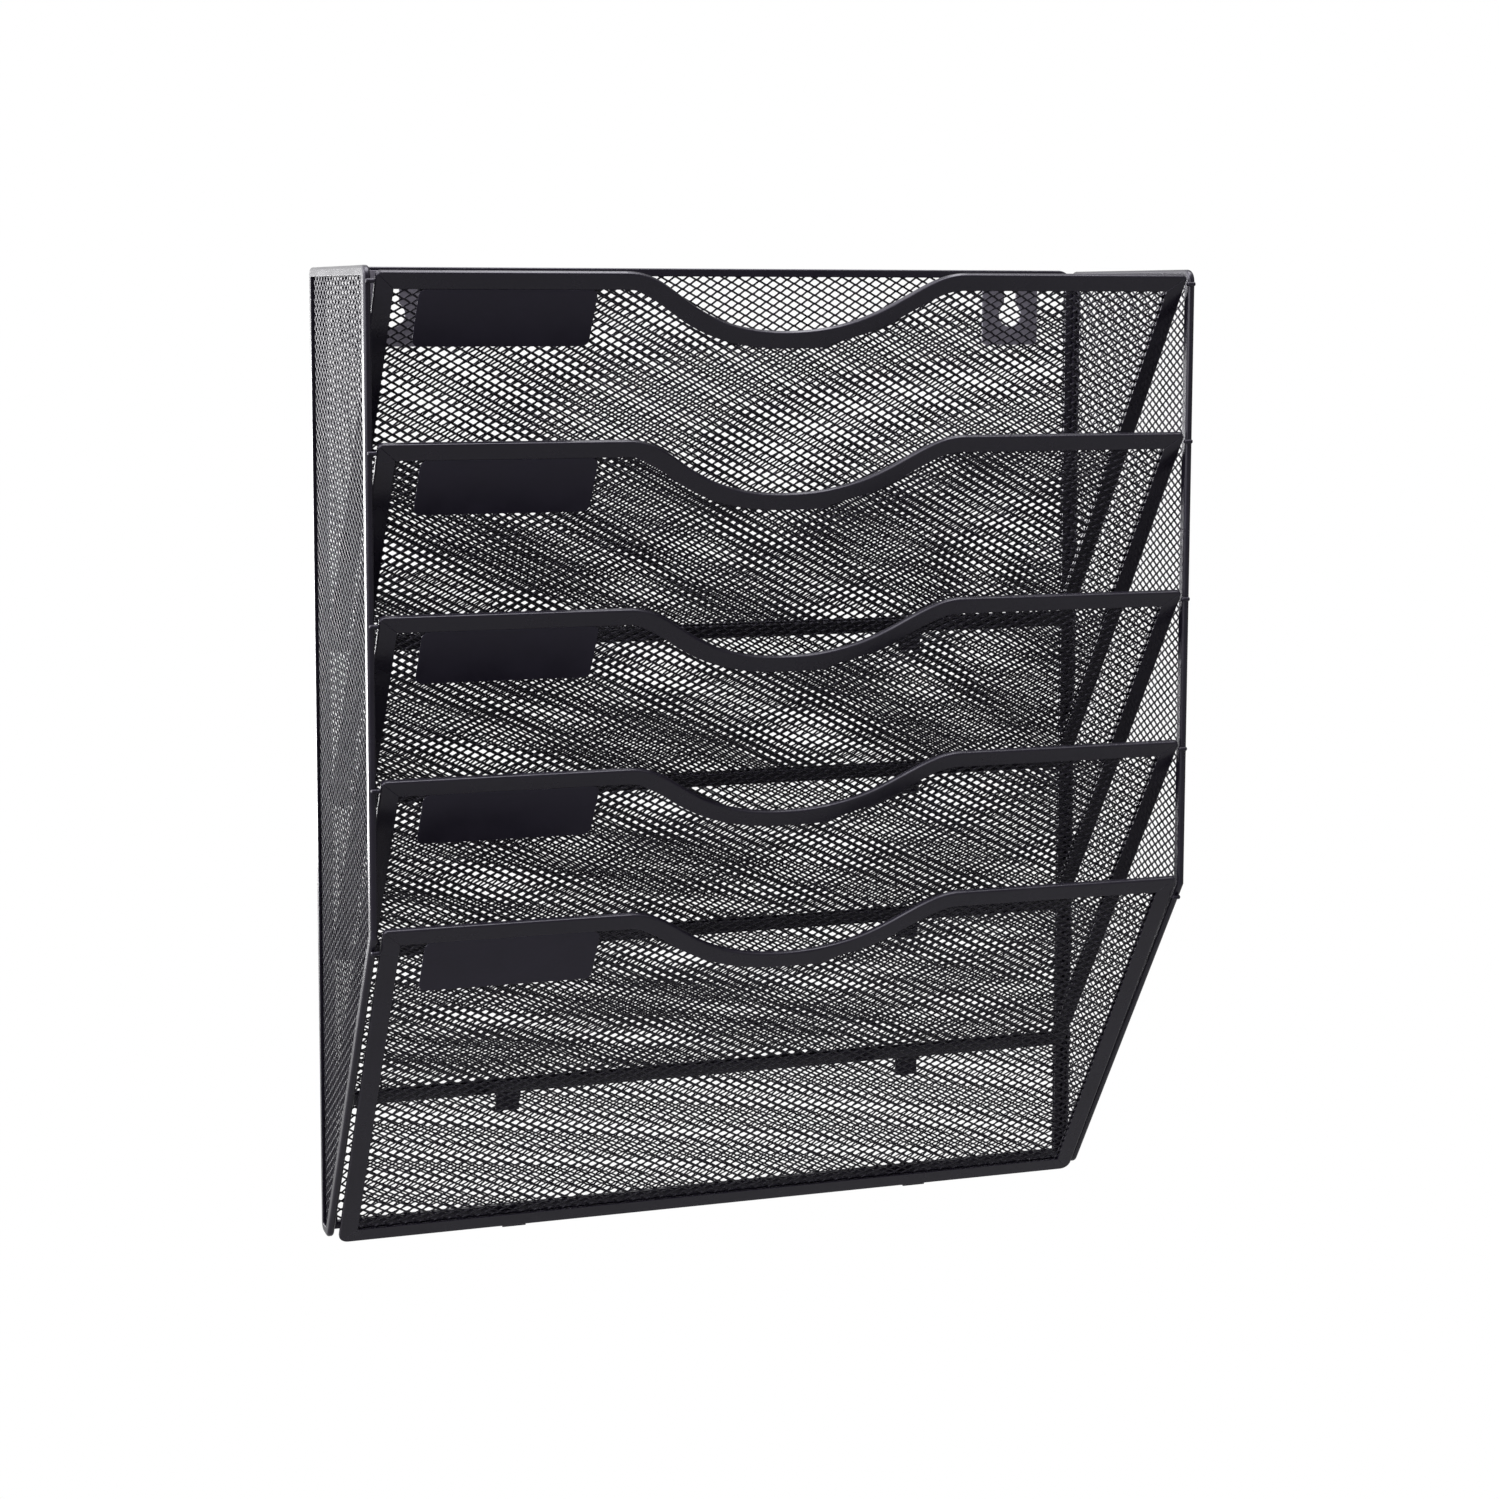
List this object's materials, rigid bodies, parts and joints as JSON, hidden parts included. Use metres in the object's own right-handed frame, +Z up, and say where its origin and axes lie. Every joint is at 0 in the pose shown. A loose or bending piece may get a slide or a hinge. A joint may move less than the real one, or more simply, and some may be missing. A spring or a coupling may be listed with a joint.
{
  "type": "wall file organiser",
  "caption": "Wall-hung organiser with sloped pockets of coated expanded-steel mesh in folded rims, keyhole hanger plates and blank label plates.",
  "frame": {"origin": "on the wall plane, midway between the two hanging keyhole heads, whose plates start 2.45 mm in front of it", "axes": "+X to the right seen from the front, +Y towards the wall, +Z up"},
  "size_m": [0.326, 0.1098, 0.3857],
  "materials": {
    "expanded_mesh": "satin",
    "coated_rim": "satin",
    "coated_plate": "satin",
    "coated_fitting": "satin"
  },
  "bodies": {
    "root": {"back_mesh": "expanded_mesh", "back_rim_top": "coated_rim", "back_rim_bottom": "coated_rim", "back_rim_left": "coated_rim", "back_rim_right": "coated_rim", "left_side_rim": "coated_rim", "left_side_mesh": "expanded_mesh", "right_side_rim": "coated_rim", "right_side_mesh": "expanded_mesh", "hanger_plate_left": "coated_plate", "hanger_plate_right": "coated_plate", "pocket_1_top_rail": "coated_rim", "pocket_1_left_stile": "coated_rim", "pocket_1_right_stile": "coated_rim", "pocket_1_bottom_rail": "coated_rim", "pocket_1_mesh": "expanded_mesh", "pocket_1_label_plate": "coated_plate", "pocket_1_corner_lugs": "coated_fitting", "pocket_1_bottom_tabs": "coated_fitting", "pocket_2_top_rail": "coated_rim", "pocket_2_left_stile": "coated_rim", "pocket_2_right_stile": "coated_rim", "pocket_2_bottom_rail": "coated_rim", "pocket_2_mesh": "expanded_mesh", "pocket_2_label_plate": "coated_plate", "pocket_2_corner_lugs": "coated_fitting", "pocket_2_bottom_tabs": "coated_fitting", "pocket_3_top_rail": "coated_rim", "pocket_3_left_stile": "coated_rim", "pocket_3_right_stile": "coated_rim", "pocket_3_bottom_rail": "coated_rim", "pocket_3_mesh": "expanded_mesh", "pocket_3_label_plate": "coated_plate", "pocket_3_corner_lugs": "coated_fitting", "pocket_3_bottom_tabs": "coated_fitting", "pocket_4_top_rail": "coated_rim", "pocket_4_left_stile": "coated_rim", "pocket_4_right_stile": "coated_rim", "pocket_4_bottom_rail": "coated_rim", "pocket_4_mesh": "expanded_mesh", "pocket_4_label_plate": "coated_plate", "pocket_4_corner_lugs": "coated_fitting", "pocket_4_bottom_tabs": "coated_fitting", "pocket_5_top_rail": "coated_rim", "pocket_5_left_stile": "coated_rim", "pocket_5_right_stile": "coated_rim", "pocket_5_bottom_rail": "coated_rim", "pocket_5_mesh": "expanded_mesh", "pocket_5_label_plate": "coated_plate", "pocket_5_corner_lugs": "coated_fitting", "pocket_5_bottom_tabs": "coated_fitting"}
  },
  "joints": []
}
